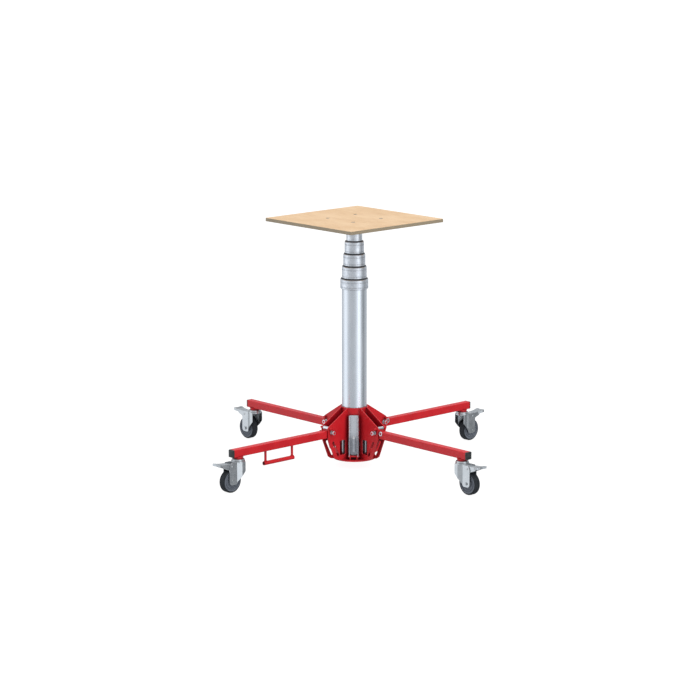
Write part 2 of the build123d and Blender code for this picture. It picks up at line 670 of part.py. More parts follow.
def castor_fork(name, angle):
    """Pressed fork: a bridge with the lower race on it and two joggled cheeks."""
    axle = (SWIVEL_ALONG + TRAIL, WHEEL_RADIUS)
    underside = FORK_TOP - FORK_SHEET
    wide = FORK_WIDE_GAP / 2
    narrow = FORK_GAP / 2
    sheet = FORK_SHEET
    outline = [(FORK_REAR, FORK_TOP), (FORK_REAR, 88), (22, 46), (26, FORK_BOTTOM), (FORK_FRONT, FORK_BOTTOM),
               (FORK_FRONT, 114), (56, FORK_TOP)]
    with BuildPart() as fork:
        with BuildSketch(flat_plane(angle, SWIVEL_ALONG, FORK_TOP)):
            with BuildLine():
                Polyline(*fork_plan(wide + sheet, narrow + sheet, FORK_REAR, FORK_FRONT), close=True)
            make_face()
        extrude(amount=FORK_BOTTOM - FORK_TOP)
        with BuildSketch(flat_plane(angle, SWIVEL_ALONG, underside)):
            with BuildLine():
                Polyline(*fork_plan(wide, narrow, FORK_REAR - 1, FORK_FRONT + 1), close=True)
            make_face()
        extrude(amount=-FORK_TOP, mode=Mode.SUBTRACT)
        with BuildSketch(flat_plane(angle, SWIVEL_ALONG + BRIDGE_FRONT, FORK_TOP)):
            Rectangle(FORK_FRONT, FORK_GAP, align=(Align.MIN, Align.CENTER))
        extrude(amount=-2 * FORK_SHEET, mode=Mode.SUBTRACT)
        with BuildSketch(side_plane(angle)) as cheek:
            with BuildLine():
                Polyline(*[(SWIVEL_ALONG + x, z) for x, z in outline], close=True)
            make_face()
            fillet(cheek.vertices().sort_by_distance((SWIVEL_ALONG + FORK_FRONT, FORK_BOTTOM))[0], radius=14)
            fillet(cheek.vertices().sort_by_distance((SWIVEL_ALONG + 26, FORK_BOTTOM))[0], radius=9)
            fillet(cheek.vertices().sort_by_distance((SWIVEL_ALONG + FORK_REAR, 88))[0], radius=8)
            fillet(cheek.vertices().sort_by_distance((SWIVEL_ALONG + FORK_FRONT, 114))[0], radius=5)
        extrude(amount=2 * wide, both=True, mode=Mode.INTERSECT)
        with BuildSketch(flat_plane(angle, SWIVEL_ALONG, underside)):
            Circle(RACE_RADIUS)
        extrude(amount=LOWER_RACE_TOP - underside, taper=12)
        with BuildSketch(flat_plane(angle, SWIVEL_ALONG, underside)):
            Circle(STEM_RADIUS + RUNNING)
        extrude(amount=LOWER_RACE_TOP, mode=Mode.SUBTRACT)
        with BuildSketch(side_plane(angle)):
            with Locations(axle):
                Circle(AXLE_RADIUS)
            with Locations((SWIVEL_ALONG + BRAKE_PIVOT[0], BRAKE_PIVOT[1])):
                Circle(BRAKE_PIN_RADIUS + RUNNING)
        extrude(amount=FORK_WIDE_GAP, both=True, mode=Mode.SUBTRACT)
    save(Compound(children=[fork.part] + fork_axle(angle)), name)


def tyre(name, angle):
    """Tyre with rounded shoulders."""
    half = WHEEL_WIDTH / 2
    inner = WHEEL_RADIUS - TYRE_DEPTH
    along = SWIVEL_ALONG + TRAIL
    shoulder = 4.5
    with BuildPart() as body:
        with BuildSketch(end_plane(angle, along, WHEEL_RADIUS)) as section:
            with BuildLine():
                Polyline(
                    (-half + 1, inner), (half - 1, inner), (half, inner + 1), (half, WHEEL_RADIUS - shoulder),
                    (half - shoulder, WHEEL_RADIUS), (-half + shoulder, WHEEL_RADIUS),
                    (-half, WHEEL_RADIUS - shoulder), (-half, inner + 1), close=True)
            make_face()
            fillet(section.vertices().group_by(Axis.Y)[-1], radius=3.5)
        revolve(axis=across_axis(angle, along, WHEEL_RADIUS))
    save(body.part, name)


def wheel_centre(name, angle):
    """Moulded wheel body: rim, recessed web with a raised ring, and hub, bored for the axle."""
    along = SWIVEL_ALONG + TRAIL
    rim = WHEEL_RADIUS - TYRE_DEPTH
    half_rim = WHEEL_WIDTH / 2 - 1
    half_web = half_rim - 4
    half_hub = HUB_WIDTH / 2
    bore = AXLE_RADIUS + RUNNING
    face = [(half_hub, bore), (half_hub, 10), (half_rim - 1, 13), (half_rim - 1, 16), (half_web, 18),
            (half_web, 26), (half_rim - 1.5, 28), (half_rim - 1.5, 31), (half_web, 33), (half_web, rim - 6),
            (half_rim, rim - 4), (half_rim, rim)]
    with BuildPart() as body:
        with BuildSketch(end_plane(angle, along, WHEEL_RADIUS)):
            with BuildLine():
                Polyline(*face, *[(-x, y) for x, y in reversed(face)], close=True)
            make_face()
        revolve(axis=across_axis(angle, along, WHEEL_RADIUS))
    save(body.part, name)


def brake_tail(angle):
    """Widened end of a brake pedal with its turned-down edge."""
    start = BRAKE_TAIL - 4
    upper = [(start, 129), (BRAKE_TIP - 27, 130), (BRAKE_TIP, 135)]
    half = FORK_GAP / 2 - 0.5
    near = [
        (start, -half), (BRAKE_TAIL, -half), (BRAKE_TIP - 13, -BRAKE_HALF_TAIL), (BRAKE_TIP, -BRAKE_HALF_TAIL)]
    plan = near + [(BRAKE_TIP - 5, 0)] + [(x, -y) for x, y in reversed(near)]
    with BuildPart() as tail:
        with BuildSketch(side_plane(angle)):
            with BuildLine():
                Polyline(*[(SWIVEL_ALONG + x, z) for x, z in upper],
                         *[(SWIVEL_ALONG + x, z - BRAKE_RIM) for x, z in reversed(upper)], close=True)
            make_face()
        extrude(amount=BRAKE_HALF_TAIL, both=True)
        with BuildSketch(flat_plane(angle, SWIVEL_ALONG, FORK_BOTTOM)) as tread:
            with BuildLine():
                Polyline(*plan, close=True)
            make_face()
            fillet(tread.vertices().sort_by_distance((BRAKE_TIP, -BRAKE_HALF_TAIL))[0], radius=5)
            fillet(tread.vertices().sort_by_distance((BRAKE_TIP, BRAKE_HALF_TAIL))[0], radius=5)
        extrude(amount=2 * FORK_TOP, mode=Mode.INTERSECT)
        with BuildSketch(side_plane(angle)):
            with BuildLine():
                Polyline(*[(SWIVEL_ALONG + x, z - BRAKE_SHEET) for x, z in upper],
                         *[(SWIVEL_ALONG + x, z - 2 * BRAKE_RIM) for x, z in reversed(upper)], close=True)
            make_face()
        hollow = extrude(amount=BRAKE_HALF_TAIL, both=True, mode=Mode.PRIVATE)
        with BuildSketch(flat_plane(angle, SWIVEL_ALONG, FORK_BOTTOM)):
            with BuildLine():
                Polyline(*plan, close=True)
            make_face()
            offset(amount=-BRAKE_SHEET, kind=Kind.INTERSECTION)
            with Locations((start, 0)):
                Rectangle(4 * BRAKE_SHEET, 2 * (half - BRAKE_SHEET))
        core = extrude(amount=2 * FORK_TOP, mode=Mode.PRIVATE)
        add(hollow & core, mode=Mode.SUBTRACT)
    return tail.part


def brake_pedal(name, angle):
    """Sheet pedal that pivots between the fork's cheeks and presses a lug towards the tyre."""
    pivot = (SWIVEL_ALONG + BRAKE_PIVOT[0], BRAKE_PIVOT[1])
    half = FORK_GAP / 2 - 0.5
    upper = [(44, 121), (56, 127), (BRAKE_TAIL, 129.3), (BRAKE_TAIL + 8, 129.8)]
    lower = [(BRAKE_TAIL + 8, 116), (BRAKE_TAIL + 2, 112), (76, 107), (62, 101), (53, 104), (44, 112)]
    inside = [(x, z - BRAKE_SHEET) for x, z in upper]
    with BuildPart() as pedal:
        with BuildSketch(side_plane(angle)):
            with BuildLine():
                Polyline(*[(SWIVEL_ALONG + x, z) for x, z in upper + lower], close=True)
            make_face()
        extrude(amount=half, both=True)
        with BuildSketch(side_plane(angle)):
            with BuildLine():
                Polyline(*[(SWIVEL_ALONG + x, z) for x, z in inside],
                         (SWIVEL_ALONG + inside[-1][0], 90), (SWIVEL_ALONG + inside[0][0], 90), close=True)
            make_face()
        extrude(amount=half - BRAKE_SHEET, both=True, mode=Mode.SUBTRACT)
        add(brake_tail(angle))
        with BuildSketch(side_plane(angle)):
            with Locations((SWIVEL_ALONG + 60, 104)):
                Rectangle(6, 6)
        extrude(amount=half, both=True)
        with BuildSketch(side_plane(angle)):
            with Locations(pivot):
                Circle(BRAKE_PIN_RADIUS)
        extrude(amount=FORK_GAP / 2 + FORK_SHEET + 0.8, both=True)
    save(pedal.part, name)


# ---------------------------------------------------------------- build
os.makedirs("parts", exist_ok=True)

outer_tube()
base_plug()
air_valve()
hub_core()
gusset_plates()
hub_bolts()
lock_housings()
foot_pedal()

collar("outer_collar", 0)
wiper("outer_wiper", 0)
for stage in (1, 2, 3):
    label = f"stage_{stage}"
    moving_tube(f"{label}_tube", stage, COLLAR_TOP[stage] - COLLAR_SHOULDER)
    piston(f"{label}_piston", stage)
    collar(f"{label}_collar", stage)
    wiper(f"{label}_wiper", stage)
moving_tube("head_tube", 4, PLATFORM_TOP - PLATFORM_THICKNESS - HEAD_PLATE_THICKNESS)
piston("head_piston", 4)
head_flange()
platform()
platform_bolts()

for leg, leg_angle in LEGS.items():
    leg_tube(f"leg_{leg}", leg_angle, LOCK_SIDES[leg])
    leg_cap(f"leg_cap_{leg}", leg_angle)
    lock_plunger(f"lock_plunger_{leg}", leg_angle, LOCK_SIDES[leg])
    castor_stem(f"castor_stem_{leg}", leg_angle)
    castor_fork(f"castor_fork_{leg}", leg_angle)
    tyre(f"tyre_{leg}", leg_angle)
    wheel_centre(f"wheel_centre_{leg}", leg_angle)
    brake_pedal(f"brake_pedal_{leg}", leg_angle)
carry_handle(LEGS[HANDLE_LEG])
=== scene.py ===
"""Looks of the mobile column lift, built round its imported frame: finishes, fittings, studio and camera."""

import math

import bmesh
import bpy
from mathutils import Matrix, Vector


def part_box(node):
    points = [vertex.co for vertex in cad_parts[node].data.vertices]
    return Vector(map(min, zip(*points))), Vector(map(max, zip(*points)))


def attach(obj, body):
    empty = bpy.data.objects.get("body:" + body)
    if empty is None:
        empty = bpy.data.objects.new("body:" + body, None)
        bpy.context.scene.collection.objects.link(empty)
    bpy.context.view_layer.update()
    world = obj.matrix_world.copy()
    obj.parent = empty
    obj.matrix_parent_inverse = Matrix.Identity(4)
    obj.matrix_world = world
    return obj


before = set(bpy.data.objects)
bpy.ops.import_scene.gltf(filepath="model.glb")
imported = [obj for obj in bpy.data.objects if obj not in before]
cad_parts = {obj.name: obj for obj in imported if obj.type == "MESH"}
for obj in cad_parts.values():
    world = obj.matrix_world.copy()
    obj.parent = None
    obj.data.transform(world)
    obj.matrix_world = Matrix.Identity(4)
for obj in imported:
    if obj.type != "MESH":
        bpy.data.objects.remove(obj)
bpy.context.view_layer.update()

# Measures are in millimetres. A pair is a place: along a leg from the column's axis, and above the floor.
MM = 0.001
UP = Vector((0, 0, 1))
LEGS = {"front_right": 0, "rear_right": 90, "rear_left": 180, "front_left": 270}        # degrees
LOCK_SIDES = {"front_right": -1, "rear_right": -1, "rear_left": 1, "front_left": 1}     # across the leg
PEDAL_ANGLE = -45
INLET_ANGLE = 135

SLEEVE_RADIUS = 60.5
BASE_TOP = 42.4             # height of the beads on the base disc
PLATE_FACE = 22.5           # outer face of a hub plate, across its leg
PLATE_INSIDE = 17.5         # its inner face
HINGE = (166, 194)
BOLT_HEAD = 6.4             # how far a hinge bolt's head stands off the plate
RING = (188, 175.5)         # the ring beside the hub plates
LEG_MIDDLE = 167
LEG_TOP = 184               # height of the beads on a leg
LEG_UNDERSIDE = 150.2       # height of the beads under it
SWIVEL_ALONG = 675
BRAKE_PIVOT = (725, 116)
AXLE = (720, 50)


def point(angle, along, height, across=0.0):
    """A point in metres from millimetres along a leg, above the floor and across the leg."""
    a = math.radians(angle)
    x = math.cos(a) * along - math.sin(a) * across
    y = math.sin(a) * along + math.cos(a) * across
    return Vector((x, y, height)) * MM


def direction(angle, across=False):
    """The way a leg points, or the way across it."""
    a = math.radians(angle + (90 if across else 0))
    return Vector((math.cos(a), math.sin(a), 0))


# ---------------------------------------------------------------- nodes
def set_inputs(tree, node, values):
    """Links a value that is a socket, and sets any other."""
    for key, value in values.items():
        if isinstance(value, bpy.types.NodeSocket):
            tree.links.new(value, node.inputs[key])
        else:
            node.inputs[key].default_value = value


def add_node(tree, kind, values=None, **settings):
    """Adds a node; values go to its inputs, settings to the node itself."""
    made = tree.nodes.new(kind)
    for key, value in settings.items():
        setattr(made, key, value)
    set_inputs(tree, made, values or {})
    return made


# ---------------------------------------------------------------- finishes
class Finish:
    """A material whose nodes are added one by one; textures lie in the object's own coordinates."""

    def __init__(self, name, colour, roughness, metallic=0.0, **sockets):
        self.material = bpy.data.materials.new(name)
        self.material.use_nodes = True
        self.tree = self.material.node_tree
        self.surface = self.tree.nodes["Principled BSDF"]
        self.set(self.surface, {"Base Color": (*colour, 1), "Roughness": roughness, "Metallic": metallic})
        self.set(self.surface, {key.replace("_", " "): value for key, value in sockets.items()})
        self.place = self.node("ShaderNodeTexCoord").outputs["Object"]
        self.normal = None

    def set(self, node, values):
        set_inputs(self.tree, node, values)

    def node(self, kind, values=None, **settings):
        return add_node(self.tree, kind, values, **settings)

    def stretched(self, scale):
        return self.node("ShaderNodeMapping", {"Vector": self.place, "Scale": scale}).outputs["Vector"]

    def noise(self, scale, stretch=(1, 1, 1), detail=3.0, rough=0.55):
        values = {"Vector": self.stretched(stretch), "Scale": scale, "Detail": detail, "Roughness": rough}
        return self.node("ShaderNodeTexNoise", values).outputs["Fac"]

    def math(self, operation, a, b=0.0):
        made = self.node("ShaderNodeMath", operation=operation)
        self.set(made, {0: a, 1: b})
        return made.outputs[0]

    def span(self, value, low, high, to_low=0.0, to_high=1.0):
        values = {"Value": value, "From Min": low, "From Max": high, "To Min": to_low, "To Max": to_high}
        return self.node("ShaderNodeMapRange", values).outputs["Result"]

    def mix(self, share, a, b):
        made = self.node("ShaderNodeMix", data_type="RGBA")
        a = a if isinstance(a, bpy.types.NodeSocket) else (*a, 1)
        b = b if isinstance(b, bpy.types.NodeSocket) else (*b, 1)
        self.set(made, {0: share, 6: a, 7: b})
        return made.outputs[2]

    def soften(self, radius):
        """Rounds the sharp edges by a small radius, as pressed, cast or painted edges are."""
        self.normal = self.node("ShaderNodeBevel", {"Radius": radius}, samples=4).outputs["Normal"]
        self.set(self.surface, {"Normal": self.normal})

    def edges(self, radius):
        """1 on outer and inner edges, 0 on faces."""
        rounded = self.node("ShaderNodeBevel", {"Radius": radius}, samples=4).outputs["Normal"]
        flat = self.node("ShaderNodeNewGeometry").outputs["Normal"]
        made = self.node("ShaderNodeVectorMath", operation="DOT_PRODUCT")
        self.set(made, {0: rounded, 1: flat})
        return self.span(made.outputs["Value"], 0.995, 0.8)

    def hollows(self, distance):
        """1 in the open, falling to 0 in corners and under other parts."""
        return self.node("ShaderNodeAmbientOcclusion", {"Distance": distance}, samples=6).outputs["AO"]

    def bump(self, height, depth, strength=1.0):
        values = {"Height": height, "Distance": depth, "Strength": strength}
        if self.normal:
            values["Normal"] = self.normal
        self.normal = self.node("ShaderNodeBump", values).outputs["Normal"]
        self.set(self.surface, {"Normal": self.normal})

    def paint(self, colour, roughness=None):
        self.set(self.surface, {"Base Color": colour})
        if roughness is not None:
            self.set(self.surface, {"Roughness": roughness})
        return self.material


def column_aluminium():
    """Drawn and anodised tube: long faint die lines, soft cloudy sheen, a few handling marks, and painted
    shade where other parts close round it.
    """
    f = Finish("column_aluminium", (0.84, 0.875, 0.915), 0.27, 1.0)
    lines = f.noise(900, (1, 1, 0.012), 2.0)
    cloud = f.noise(14, (1, 1, 0.35), 3.0)
    marks = f.noise(60, (1, 1, 0.12), 5.0, 0.7)
    tone = f.mix(f.span(cloud, 0.35, 0.65), (0.80, 0.84, 0.885), (0.865, 0.895, 0.93))
    tone = f.mix(f.span(lines, 0.55, 0.75, 0.0, 0.35), tone, (0.70, 0.73, 0.77))
    rough = f.span(f.math("ADD", cloud, f.math("MULTIPLY", marks, 0.6)), 0.6, 1.0, 0.21, 0.33)
    # Painted shade: the tube darkens to near black where other parts close round it, as inside the hub.
    tone = f.mix(f.span(f.hollows(0.09), 0.30, 0.80, 0.92, 0.0), tone, (0.05, 0.045, 0.05))
    f.bump(lines, 0.00003, 0.6)
    return f.paint(tone, rough)


def collar_aluminium():
    """Cast and turned collar: ring marks of the tool, mottled matt skin, and painted shade in its crevices.
    """
    f = Finish("collar_aluminium", (0.80, 0.83, 0.86), 0.36, 1.0)
    f.soften(0.0006)
    rings = f.noise(420, (0.02, 0.02, 1), 2.0)
    mottle = f.noise(95, detail=5.0, rough=0.7)
    patches = f.noise(33, (1, 1, 0.7), 3.0)
    tone = f.mix(f.span(mottle, 0.36, 0.64), (0.68, 0.72, 0.77), (0.97, 0.98, 1.0))
    tone = f.mix(f.span(patches, 0.4, 0.6, 0.0, 0.35), tone, (0.74, 0.78, 0.83))
    # Painted shade: near black in the crevices and where other parts sit close.
    tone = f.mix(f.span(f.hollows(0.006), 0.35, 0.9, 0.75, 0.0), tone, (0.10, 0.11, 0.13))
    f.bump(rings, 0.00008, 0.7)
    f.bump(mottle, 0.0001, 0.4)
    return f.paint(tone, f.span(mottle, 0.3, 0.7, 0.46, 0.28))


def zinc_steel():
    """Zinc plate: spangle and scuffs; painted shade in folds and a painted highlight along edges; close to
    the column a paler tone as a painted highlight, and there painted shade low down, broken up by the scuffs.
    """
    highlight_full_to, highlight_gone_from = 0.21, 0.24        # metres from the column's axis, where the painted highlight fades out
    unshaded_above, shaded_below = 0.165, 0.125      # metres above the floor, where the painted shade low down comes in
    f = Finish("zinc_steel", (0.66, 0.68, 0.69), 0.3, 1.0)
    f.soften(0.0007)
    spangle = f.node("ShaderNodeTexVoronoi", {"Vector": f.place, "Scale": 320.0}, feature="F1")
    grain = f.node("ShaderNodeSeparateColor", {"Color": spangle.outputs["Color"]}).outputs["Red"]
    cloud = f.noise(45, detail=3.0)
    scuffs = f.noise(210, (1, 1, 0.35), 4.0, 0.75)
    tone = f.mix(f.span(cloud, 0.35, 0.65), (0.575, 0.60, 0.61), (0.66, 0.675, 0.68))
    reach = f.node("ShaderNodeVectorMath", {0: f.stretched((1, 1, 0))}, operation="LENGTH").outputs["Value"]
    # Painted highlight: zinc close to the column is painted paler than the same zinc elsewhere, to look
    # brightly lit.
    painted_highlight_zone = f.span(reach, highlight_full_to, highlight_gone_from, 1.0, 0.0)
    tone = f.mix(painted_highlight_zone, tone, (0.93, 0.935, 0.97))
    # Painted shade: low down on the parts close to the column the zinc is darkened, broken up by the scuff
    # pattern.
    height = f.node("ShaderNodeSeparateXYZ", {"Vector": f.place}).outputs["Z"]
    low_painted_shade = f.math("MULTIPLY", f.span(height, unshaded_above, shaded_below), f.span(scuffs, 0.30, 0.62, 0.35, 0.85))
    tone = f.mix(f.math("MULTIPLY", painted_highlight_zone, low_painted_shade), tone, (0.40, 0.415, 0.46))
    tone = f.mix(f.span(grain, 0.0, 1.0, 0.0, 0.10), tone, (0.46, 0.50, 0.54))
    tone = f.mix(f.span(scuffs, 0.60, 0.76, 0.0, 0.22), tone, (0.46, 0.47, 0.47))
    # Painted shade: near black in folds, corners and under other parts.
    tone = f.mix(f.span(f.hollows(0.035), 0.12, 0.72, 0.9, 0.0), tone, (0.05, 0.052, 0.06))
    # Painted highlight: a paler band along every edge.
    tone = f.mix(f.math("MULTIPLY", f.edges(0.0013), 0.5), tone, (0.90, 0.91, 0.91))
    f.bump(scuffs, 0.00004, 0.5)
    rough = f.span(f.math("ADD", cloud, f.math("MULTIPLY", grain, 0.12)), 0.35, 0.75, 0.24, 0.33)
    return f.paint(tone, rough)


def red_paint():
    """Powder coat: orange-peel skin, painted shade in corners and under other parts, a painted highlight
    along the edges, and wear chipped to bare metal there.
    """
    f = Finish("red_paint", (0.60, 0.011, 0.016), 0.38, 0.0, Specular_IOR_Level=0.34, Coat_Weight=0.08,
               Coat_Roughness=0.22)
    f.soften(0.0009)
    peel = f.noise(520, detail=2.0)
    cloud = f.noise(16, detail=3.0)
    chips = f.noise(240, detail=4.0, rough=0.7)
    tone = f.mix(f.span(cloud, 0.35, 0.65), (0.565, 0.008, 0.014), (0.645, 0.013, 0.019))
    # Painted shade: darker red under and between parts, near black in tight corners.
    tone = f.mix(f.span(f.hollows(0.10), 0.25, 0.85, 0.72, 0.0), tone, (0.20, 0.003, 0.009))
    tone = f.mix(f.span(f.hollows(0.018), 0.15, 0.8, 0.8, 0.0), tone, (0.06, 0.001, 0.004))
    edge = f.edges(0.0012)
    # Painted highlight: a lighter red along the edges; the grey chips after it are real wear.
    tone = f.mix(f.math("MULTIPLY", edge, 0.30), tone, (0.80, 0.08, 0.08))
    worn = f.math("MULTIPLY", edge, f.span(chips, 0.60, 0.66))
    tone = f.mix(worn, tone, (0.42, 0.40, 0.39))
    f.bump(peel, 0.00009, 0.55)
    return f.paint(tone, f.span(f.math("ADD", cloud, f.math("MULTIPLY", peel, 0.5)), 0.5, 1.0, 0.32, 0.46))


def plywood():
    """Birch ply: flowing grain and fine pores on the faces, alternating plies on the edges."""
    plies = 11.0
    low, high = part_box("platform")
    f = Finish("plywood", (0.86, 0.60, 0.32), 0.5, 0.0, Coat_Weight=0.08, Coat_Roughness=0.3)
    f.soften(0.0006)
    warp = f.noise(5.0, (0.5, 2.2, 1), 3.0)
    split = f.node("ShaderNodeSeparateXYZ", {"Vector": f.place})
    across = f.math("ADD", split.outputs["Y"], f.math("MULTIPLY", warp, 0.11))
    bands = f.math("SINE", f.math("MULTIPLY", across, 330.0))
    fibres = f.noise(700, (0.035, 1, 1), 3.0, 0.6)
    pores = f.noise(1500, (0.05, 1, 1), 2.0)
    blotch = f.noise(7, (1, 1.6, 1), 3.0)
    face = f.mix(f.span(bands, -1.0, 1.0), (0.80, 0.545, 0.305), (0.69, 0.44, 0.225))
    face = f.mix(f.span(fibres, 0.40, 0.66, 0.0, 0.5), face, (0.60, 0.37, 0.185))
    face = f.mix(f.span(blotch, 0.42, 0.62, 0.0, 0.45), face, (0.85, 0.61, 0.37))
    face = f.mix(f.span(pores, 0.63, 0.72, 0.0, 0.45), face, (0.42, 0.24, 0.11))
    layer = f.span(split.outputs["Z"], low.z, high.z, 0.0, plies)
    odd = f.math("PINGPONG", layer, 1.0)
    edge = f.mix(f.span(odd, 0.35, 0.65), (0.47, 0.375, 0.245), (0.29, 0.225, 0.15))
    glue = f.span(f.math("ABSOLUTE", f.math("SUBTRACT", odd, 0.5)), 0.06, 0.0)
    edge = f.mix(glue, edge, (0.085, 0.062, 0.042))
    edge = f.mix(f.span(fibres, 0.45, 0.65, 0.0, 0.35), edge, (0.18, 0.135, 0.09))
    flat = f.node("ShaderNodeNewGeometry").outputs["True Normal"]
    upward = f.math("ABSOLUTE", f.node("ShaderNodeSeparateXYZ", {"Vector": flat}).outputs["Z"])
    tone = f.mix(f.span(upward, 0.55, 0.8), edge, face)
    f.bump(fibres, 0.00006, 0.5)
    return f.paint(tone, f.span(fibres, 0.3, 0.7, 0.42, 0.58))


def tyre_rubber():
    """Solid rubber tread, greyer where it has rolled."""
    f = Finish("tyre_rubber", (0.017, 0.021, 0.027), 0.62, 0.0, Specular_IOR_Level=0.28)
    f.soften(0.0006)
    grain = f.noise(900, detail=3.0)
    dust = f.noise(85, detail=5.0, rough=0.7)
    tone = f.mix(f.span(dust, 0.42, 0.66), (0.012, 0.015, 0.019), (0.034, 0.038, 0.042))
    f.bump(grain, 0.00012, 0.5)
    return f.paint(tone, f.span(dust, 0.3, 0.7, 0.55, 0.8))


def wheel_plastic():
    """Moulded grey wheel body with fine flow marks, painted shade in its grooves and a painted highlight
    along its edges.
    """
    f = Finish("wheel_plastic", (0.20, 0.225, 0.27), 0.48)
    f.soften(0.0008)
    flow = f.noise(55, detail=4.0)
    grain = f.noise(1100, detail=2.0)
    tone = f.mix(f.span(flow, 0.35, 0.65), (0.118, 0.130, 0.155), (0.150, 0.165, 0.192))
    # Painted shade: near black in the grooves.
    tone = f.mix(f.span(f.hollows(0.006), 0.3, 0.95, 0.8, 0.0), tone, (0.04, 0.045, 0.055))
    # Painted highlight: a paler band along the edges.
    tone = f.mix(f.math("MULTIPLY", f.edges(0.0012), 0.5), tone, (0.24, 0.26, 0.30))
    f.bump(grain, 0.00005, 0.5)
    return f.paint(tone, f.span(flow, 0.3, 0.7, 0.40, 0.56))


def black_plastic():
    """Fine-grained moulded plastic of the leg caps and small castor parts."""
    f = Finish("black_plastic", (0.020, 0.024, 0.022), 0.45)
    f.soften(0.0008)
    grain = f.noise(1300, detail=2.0)
    cloud = f.noise(90, detail=4.0)
    tone = f.mix(f.span(cloud, 0.35, 0.65), (0.014, 0.018, 0.017), (0.032, 0.036, 0.034))
    f.bump(grain, 0.0001, 0.6)
    return f.paint(tone, f.span(cloud, 0.3, 0.7, 0.38, 0.55))


def seal_rubber():
    """Dark grey wiper rubber, slightly shiny, with a little dust."""
    f = Finish("seal_rubber", (0.08, 0.085, 0.093), 0.42)
    f.soften(0.0005)
    grain = f.noise(1500, detail=2.0)
    dust = f.noise(140, detail=4.0)
    f.bump(grain, 0.00006, 0.5)
    return f.paint(f.mix(f.span(dust, 0.4, 0.65), (0.060, 0.065, 0.073), (0.105, 0.110, 0.117)),
                   f.span(dust, 0.3, 0.7, 0.34, 0.50))


def guide_plastic():
    """Ivory plastic of the guide pistons, with turning marks."""
    f = Finish("guide_plastic", (0.82, 0.80, 0.72), 0.42)
    f.soften(0.0005)
    flow = f.noise(60, (1, 1, 0.3), 4.0)
    marks = f.noise(500, (0.05, 0.05, 1), 2.0)
    f.bump(marks, 0.00005, 0.5)
    return f.paint(f.mix(f.span(flow, 0.35, 0.65), (0.74, 0.71, 0.62), (0.86, 0.84, 0.77)),
                   f.span(flow, 0.3, 0.7, 0.36, 0.5))


def valve_brass():
    """Turned brass, stained here and there, with painted shade in its hollows."""
    f = Finish("valve_brass", (0.78, 0.60, 0.30), 0.28, 1.0)
    f.soften(0.0005)
    turned = f.noise(700, (1, 1, 1), 2.0)
    stain = f.noise(90, detail=4.0)
    tone = f.mix(f.span(stain, 0.4, 0.7), (0.80, 0.62, 0.31), (0.56, 0.40, 0.19))
    # Painted shade: dark brown in the hollows.
    tone = f.mix(f.span(f.hollows(0.006), 0.2, 0.9, 0.7, 0.0), tone, (0.16, 0.10, 0.05))
    f.bump(turned, 0.00004, 0.5)
    return f.paint(tone, f.span(stain, 0.3, 0.7, 0.2, 0.42))


FINISHES = {make.__name__: make() for make in (
    column_aluminium, collar_aluminium, zinc_steel, red_paint, plywood, tyre_rubber, wheel_plastic,
    black_plastic, seal_rubber, guide_plastic, valve_brass)}
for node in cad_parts.values():
    for holder in node.material_slots:
        holder.material = FINISHES[holder.material.name.split(".")[0]]


# ---------------------------------------------------------------- mesh helpers
def piece(name, mesh, body, slot, smooth_under=40):
    """Turns a bmesh in the row frame into a piece that rides on a body."""
    bmesh.ops.recalc_face_normals(mesh, faces=mesh.faces)
    data = bpy.data.meshes.new(name)
    mesh.to_mesh(data)
    mesh.free()
    for face in data.polygons:
        face.use_smooth = True
    data.set_sharp_from_angle(angle=math.radians(smooth_under))
    data.materials.append(FINISHES[slot])
    made = bpy.data.objects.new(name, data)
    bpy.context.scene.collection.objects.link(made)
    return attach(made, body)


def square_to(axis):
    """Two directions at right angles to an axis and to each other."""
    guide = Vector((0, 0, 1)) if abs(axis.z) < 0.9 else Vector((1, 0, 0))
    u = axis.cross(guide).normalized()
    return u, axis.cross(u).normalized()


def sweep(mesh, path, size, sides=8, closed=False):
    """A tube along a path; size(i) gives its radius at the path's point i."""
    count = len(path)
    rings = []
    for i, here in enumerate(path):
        after = path[(i + 1) % count] if closed else path[min(i + 1, count - 1)]
        before = path[i - 1] if closed or i else here
        u, v = square_to((after - before).normalized())
        turns = [2 * math.pi * k / sides for k in range(sides)]
        rings.append([mesh.verts.new(here + (u * math.cos(t) + v * math.sin(t)) * size(i)) for t in turns])
    for i in range(count if closed else count - 1):
        a, b = rings[i], rings[(i + 1) % count]
        for k in range(sides):
            mesh.faces.new((a[k], a[(k + 1) % sides], b[(k + 1) % sides], b[k]))
    if not closed:
        mesh.faces.new(rings[0])
        mesh.faces.new(rings[-1])


def divided(a, b, step):
    """Points on the line from a to b, about a step apart."""
    count = max(2, round((b - a).length / step))
    return [a.lerp(b, i / count) for i in range(count + 1)]


def weld(mesh, path, radius, closed=False):
    """A laid bead: its thickness ripples along the run and fades at both ends."""
    last = len(path) - 1

    def size(i):
        ripple = 1 + 0.16 * math.sin(i * 1.9) + 0.06 * math.sin(i * 0.37)
        end = 1.0 if closed else min(1.0, 0.55 + 0.2 * min(i, last - i))
        return radius * MM * ripple * end

    sweep(mesh, path, size, 8, closed)


def ring_path(centre, radius, axis, count):
    """Points of a circle round an axis."""
    u, v = square_to(axis)
    turns = [2 * math.pi * i / count for i in range(count)]
    return [centre + (u * math.cos(t) + v * math.sin(t)) * radius * MM for t in turns]


